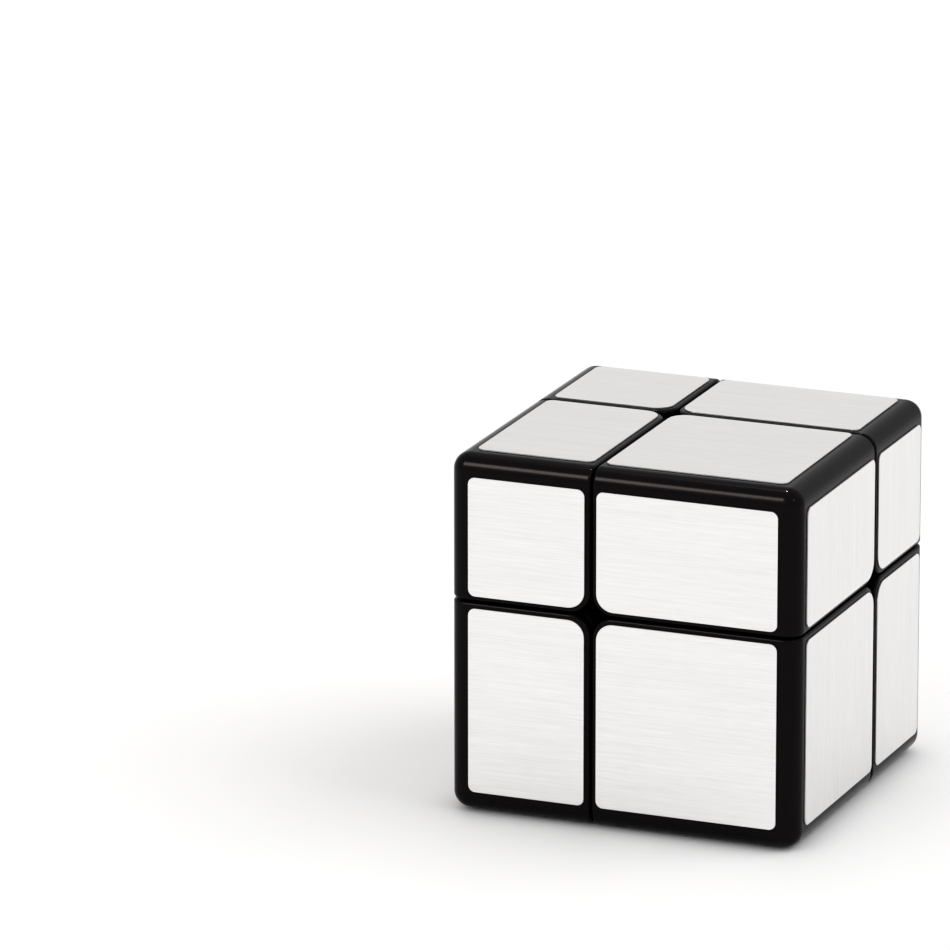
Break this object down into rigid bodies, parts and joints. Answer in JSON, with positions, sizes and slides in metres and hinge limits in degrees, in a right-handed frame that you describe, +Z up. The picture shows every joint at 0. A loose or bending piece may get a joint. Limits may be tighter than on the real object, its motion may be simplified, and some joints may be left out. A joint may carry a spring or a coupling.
{
  "type": "mirror block cube",
  "caption": "Twisty puzzle cube cut by three off-middle planes into unequal corner blocks with silver foil faces, which turn in layers about a hidden core.",
  "frame": {"origin": "under the middle of the cube, on the surface that it stands on", "axes": "+X to the right side, +Y to the back, +Z up; the front faces -Y"},
  "size_m": [0.0506, 0.0506, 0.0505],
  "materials": {
    "body_plastic": "satin moulded black ABS",
    "inner_plastic": "as moulded black ABS",
    "silver_foil": "fine straight-brushed metallised foil",
    "core_plastic": "as moulded nylon"
  },
  "bodies": {
    "core": {"core": "core_plastic"},
    "hub_top": {"hub_top": "inner_plastic"},
    "hub_bottom": {"hub_bottom": "inner_plastic"},
    "hub_left": {"hub_left": "inner_plastic"},
    "hub_right": {"hub_right": "inner_plastic"},
    "hub_front": {"hub_front": "inner_plastic"},
    "hub_back": {"hub_back": "inner_plastic"},
    "edge_top_front": {"edge_top_front": "inner_plastic"},
    "edge_top_back": {"edge_top_back": "inner_plastic"},
    "edge_top_left": {"edge_top_left": "inner_plastic"},
    "edge_top_right": {"edge_top_right": "inner_plastic"},
    "edge_bottom_front": {"edge_bottom_front": "inner_plastic"},
    "edge_bottom_back": {"edge_bottom_back": "inner_plastic"},
    "edge_bottom_left": {"edge_bottom_left": "inner_plastic"},
    "edge_bottom_right": {"edge_bottom_right": "inner_plastic"},
    "edge_front_left": {"edge_front_left": "inner_plastic"},
    "edge_front_right": {"edge_front_right": "inner_plastic"},
    "edge_back_left": {"edge_back_left": "inner_plastic"},
    "edge_back_right": {"edge_back_right": "inner_plastic"},
    "corner_top_front_left": {"shell_top_front_left": "body_plastic", "foot_top_front_left": "inner_plastic", "foil_top_front_left_on_top": "silver_foil", "foil_top_front_left_on_front": "silver_foil", "foil_top_front_left_on_left": "silver_foil"},
    "corner_top_front_right": {"shell_top_front_right": "body_plastic", "foot_top_front_right": "inner_plastic", "foil_top_front_right_on_top": "silver_foil", "foil_top_front_right_on_front": "silver_foil", "foil_top_front_right_on_right": "silver_foil"},
    "corner_top_back_left": {"shell_top_back_left": "body_plastic", "foot_top_back_left": "inner_plastic", "foil_top_back_left_on_top": "silver_foil", "foil_top_back_left_on_back": "silver_foil", "foil_top_back_left_on_left": "silver_foil"},
    "corner_top_back_right": {"shell_top_back_right": "body_plastic", "foot_top_back_right": "inner_plastic", "foil_top_back_right_on_top": "silver_foil", "foil_top_back_right_on_back": "silver_foil", "foil_top_back_right_on_right": "silver_foil"},
    "corner_bottom_front_left": {"shell_bottom_front_left": "body_plastic", "foot_bottom_front_left": "inner_plastic", "foil_bottom_front_left_on_bottom": "silver_foil", "foil_bottom_front_left_on_front": "silver_foil", "foil_bottom_front_left_on_left": "silver_foil"},
    "corner_bottom_front_right": {"shell_bottom_front_right": "body_plastic", "foot_bottom_front_right": "inner_plastic", "foil_bottom_front_right_on_bottom": "silver_foil", "foil_bottom_front_right_on_front": "silver_foil", "foil_bottom_front_right_on_right": "silver_foil"},
    "corner_bottom_back_left": {"shell_bottom_back_left": "body_plastic", "foot_bottom_back_left": "inner_plastic", "foil_bottom_back_left_on_bottom": "silver_foil", "foil_bottom_back_left_on_back": "silver_foil", "foil_bottom_back_left_on_left": "silver_foil"},
    "corner_bottom_back_right": {"shell_bottom_back_right": "body_plastic", "foot_bottom_back_right": "inner_plastic", "foil_bottom_back_right_on_bottom": "silver_foil", "foil_bottom_back_right_on_back": "silver_foil", "foil_bottom_back_right_on_right": "silver_foil"}
  },
  "joints": [
    {"name": "top_turn", "type": "hinge", "parent": "core", "child": "hub_top", "pos_m": [-0.0045, 0.0046, 0.0299], "axis": [0, 0, 1], "continuous": true},
    {"name": "bottom_turn", "type": "hinge", "parent": "core", "child": "hub_bottom", "pos_m": [-0.0045, 0.0046, 0.0299], "axis": [0, 0, -1], "continuous": true},
    {"name": "left_turn", "type": "hinge", "parent": "core", "child": "hub_left", "pos_m": [-0.0045, 0.0046, 0.0299], "axis": [-1, 0, 0], "continuous": true},
    {"name": "right_turn", "type": "hinge", "parent": "core", "child": "hub_right", "pos_m": [-0.0045, 0.0046, 0.0299], "axis": [1, 0, 0], "continuous": true},
    {"name": "front_turn", "type": "hinge", "parent": "core", "child": "hub_front", "pos_m": [-0.0045, 0.0046, 0.0299], "axis": [0, -1, 0], "continuous": true},
    {"name": "back_turn", "type": "hinge", "parent": "core", "child": "hub_back", "pos_m": [-0.0045, 0.0046, 0.0299], "axis": [0, 1, 0], "continuous": true},
    {"name": "edge_top_front_with_front", "type": "hinge", "parent": "hub_top", "child": "edge_top_front", "pos_m": [-0.0045, 0.0046, 0.0299], "axis": [0, -1, 0], "continuous": true},
    {"name": "edge_top_back_with_back", "type": "hinge", "parent": "hub_top", "child": "edge_top_back", "pos_m": [-0.0045, 0.0046, 0.0299], "axis": [0, 1, 0], "continuous": true},
    {"name": "edge_top_left_with_left", "type": "hinge", "parent": "hub_top", "child": "edge_top_left", "pos_m": [-0.0045, 0.0046, 0.0299], "axis": [-1, 0, 0], "continuous": true},
    {"name": "edge_top_right_with_top", "type": "hinge", "parent": "hub_right", "child": "edge_top_right", "pos_m": [-0.0045, 0.0046, 0.0299], "axis": [0, 0, 1], "continuous": true},
    {"name": "edge_bottom_front_with_bottom", "type": "hinge", "parent": "hub_front", "child": "edge_bottom_front", "pos_m": [-0.0045, 0.0046, 0.0299], "axis": [0, 0, -1], "continuous": true},
    {"name": "edge_bottom_back_with_back", "type": "hinge", "parent": "hub_bottom", "child": "edge_bottom_back", "pos_m": [-0.0045, 0.0046, 0.0299], "axis": [0, 1, 0], "continuous": true},
    {"name": "edge_bottom_left_with_bottom", "type": "hinge", "parent": "hub_left", "child": "edge_bottom_left", "pos_m": [-0.0045, 0.0046, 0.0299], "axis": [0, 0, -1], "continuous": true},
    {"name": "edge_bottom_right_with_bottom", "type": "hinge", "parent": "hub_right", "child": "edge_bottom_right", "pos_m": [-0.0045, 0.0046, 0.0299], "axis": [0, 0, -1], "continuous": true},
    {"name": "edge_front_left_with_left", "type": "hinge", "parent": "hub_front", "child": "edge_front_left", "pos_m": [-0.0045, 0.0046, 0.0299], "axis": [-1, 0, 0], "continuous": true},
    {"name": "edge_front_right_with_right", "type": "hinge", "parent": "hub_front", "child": "edge_front_right", "pos_m": [-0.0045, 0.0046, 0.0299], "axis": [1, 0, 0], "continuous": true},
    {"name": "edge_back_left_with_left", "type": "hinge", "parent": "hub_back", "child": "edge_back_left", "pos_m": [-0.0045, 0.0046, 0.0299], "axis": [-1, 0, 0], "continuous": true},
    {"name": "edge_back_right_with_back", "type": "hinge", "parent": "hub_right", "child": "edge_back_right", "pos_m": [-0.0045, 0.0046, 0.0299], "axis": [0, 1, 0], "continuous": true},
    {"name": "corner_top_front_left_with_left", "type": "hinge", "parent": "edge_top_front", "child": "corner_top_front_left", "pos_m": [-0.0045, 0.0046, 0.0299], "axis": [-1, 0, 0], "continuous": true},
    {"name": "corner_top_front_right_with_front", "type": "hinge", "parent": "edge_top_right", "child": "corner_top_front_right", "pos_m": [-0.0045, 0.0046, 0.0299], "axis": [0, -1, 0], "continuous": true},
    {"name": "corner_top_back_left_with_top", "type": "hinge", "parent": "edge_back_left", "child": "corner_top_back_left", "pos_m": [-0.0045, 0.0046, 0.0299], "axis": [0, 0, 1], "continuous": true},
    {"name": "corner_top_back_right_with_top", "type": "hinge", "parent": "edge_back_right", "child": "corner_top_back_right", "pos_m": [-0.0045, 0.0046, 0.0299], "axis": [0, 0, 1], "continuous": true},
    {"name": "corner_bottom_front_left_with_front", "type": "hinge", "parent": "edge_bottom_left", "child": "corner_bottom_front_left", "pos_m": [-0.0045, 0.0046, 0.0299], "axis": [0, -1, 0], "continuous": true},
    {"name": "corner_bottom_front_right_with_bottom", "type": "hinge", "parent": "edge_front_right", "child": "corner_bottom_front_right", "pos_m": [-0.0045, 0.0046, 0.0299], "axis": [0, 0, -1], "continuous": true},
    {"name": "corner_bottom_back_left_with_left", "type": "hinge", "parent": "edge_bottom_back", "child": "corner_bottom_back_left", "pos_m": [-0.0045, 0.0046, 0.0299], "axis": [-1, 0, 0], "continuous": true},
    {"name": "corner_bottom_back_right_with_bottom", "type": "hinge", "parent": "edge_back_right", "child": "corner_bottom_back_right", "pos_m": [-0.0045, 0.0046, 0.0299], "axis": [0, 0, -1], "continuous": true}
  ],
  "couplings": [
    {"joint": "edge_top_front_with_front", "follows": "front_turn", "ratio": 1},
    {"joint": "edge_top_back_with_back", "follows": "back_turn", "ratio": 1},
    {"joint": "edge_top_left_with_left", "follows": "left_turn", "ratio": 1},
    {"joint": "edge_top_right_with_top", "follows": "top_turn", "ratio": 1},
    {"joint": "edge_bottom_front_with_bottom", "follows": "bottom_turn", "ratio": 1},
    {"joint": "edge_bottom_back_with_back", "follows": "back_turn", "ratio": 1},
    {"joint": "edge_bottom_left_with_bottom", "follows": "bottom_turn", "ratio": 1},
    {"joint": "edge_bottom_right_with_bottom", "follows": "bottom_turn", "ratio": 1},
    {"joint": "edge_front_left_with_left", "follows": "left_turn", "ratio": 1},
    {"joint": "edge_front_right_with_right", "follows": "right_turn", "ratio": 1},
    {"joint": "edge_back_left_with_left", "follows": "left_turn", "ratio": 1},
    {"joint": "edge_back_right_with_back", "follows": "back_turn", "ratio": 1},
    {"joint": "corner_top_front_left_with_left", "follows": "left_turn", "ratio": 1},
    {"joint": "corner_top_front_right_with_front", "follows": "front_turn", "ratio": 1},
    {"joint": "corner_top_back_left_with_top", "follows": "top_turn", "ratio": 1},
    {"joint": "corner_top_back_right_with_top", "follows": "top_turn", "ratio": 1},
    {"joint": "corner_bottom_front_left_with_front", "follows": "front_turn", "ratio": 1},
    {"joint": "corner_bottom_front_right_with_bottom", "follows": "bottom_turn", "ratio": 1},
    {"joint": "corner_bottom_back_left_with_left", "follows": "left_turn", "ratio": 1},
    {"joint": "corner_bottom_back_right_with_bottom", "follows": "bottom_turn", "ratio": 1}
  ]
}
